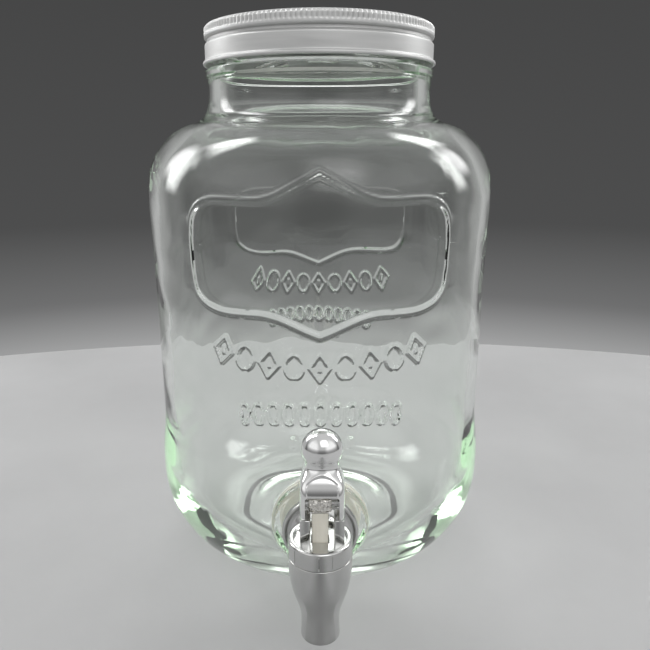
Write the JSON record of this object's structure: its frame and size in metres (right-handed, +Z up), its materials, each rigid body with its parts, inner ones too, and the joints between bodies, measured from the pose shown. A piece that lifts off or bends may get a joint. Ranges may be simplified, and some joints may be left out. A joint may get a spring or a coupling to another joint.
{
  "type": "liquid dispenser jar",
  "caption": "Glass countertop dispenser jar with an aluminium screw lid and a plated cam-lever tap near the base.",
  "frame": {"origin": "on the surface the jar stands on, at the middle of the whole outline (bounding box): the jar's own axis is at y = +19.05 mm and the tap's barrel axis at y = -92.95 mm", "axes": "+Z up along the jar's axis, -Y towards the tap and the user, +X to the right as seen by somebody facing the tap"},
  "size_m": [0.174, 0.212, 0.265],
  "materials": {
    "jar_glass": "clear pressed soda-lime glass, faint green in the thick parts",
    "lid_aluminium": "satin, knurled round the top edge",
    "liner_foam": "matte foamed polyethylene",
    "tap_chrome": "bright plating",
    "spring_steel": "plain stainless",
    "silicone": "translucent cream",
    "nut_plastic": "moulded, satin",
    "stem_plastic": "natural acetal, satin"
  },
  "bodies": {
    "jar": {"glass_jar": "jar_glass", "tap_body": "tap_chrome", "outer_washer": "silicone", "inner_washer": "silicone", "shank_nut": "nut_plastic", "bonnet": "tap_chrome", "bonnet_gasket": "silicone", "bonnet_ring": "tap_chrome", "stem_o_ring": "silicone", "spring_washer": "spring_steel", "closing_spring": "spring_steel"},
    "stem": {"valve_stem": "stem_plastic", "seat_plug": "silicone"},
    "lever": {"lever": "tap_chrome", "pivot_pin": "spring_steel"},
    "liner": {"lid_liner": "liner_foam"},
    "lid": {"lid_shell": "lid_aluminium"}
  },
  "joints": [
    {"name": "stem_lift", "type": "slide", "parent": "jar", "child": "stem", "axis": [0, 0, 1], "range_m": [0, 0.00475], "deforming": ["closing_spring"]},
    {"name": "lever_tilt", "type": "hinge", "parent": "stem", "child": "lever", "pos_m": [0, -0.09295, 0.0755], "axis": [1, 0, 0], "range_deg": [0, 80]},
    {"name": "lid_lift", "type": "slide", "parent": "jar", "child": "liner", "axis": [0, 0, 1], "range_m": [0, 0.0181]},
    {"name": "lid_turn", "type": "hinge", "parent": "liner", "child": "lid", "pos_m": [0, 0.01905, 0.261], "axis": [0, 0, 1], "range_deg": [0, 1080]}
  ],
  "couplings": [
    {"joint": "lever_tilt", "follows": "stem_lift", "rad_per_m": 294.12},
    {"joint": "lid_lift", "follows": "lid_turn", "m_per_rad": 0.00095493}
  ]
}
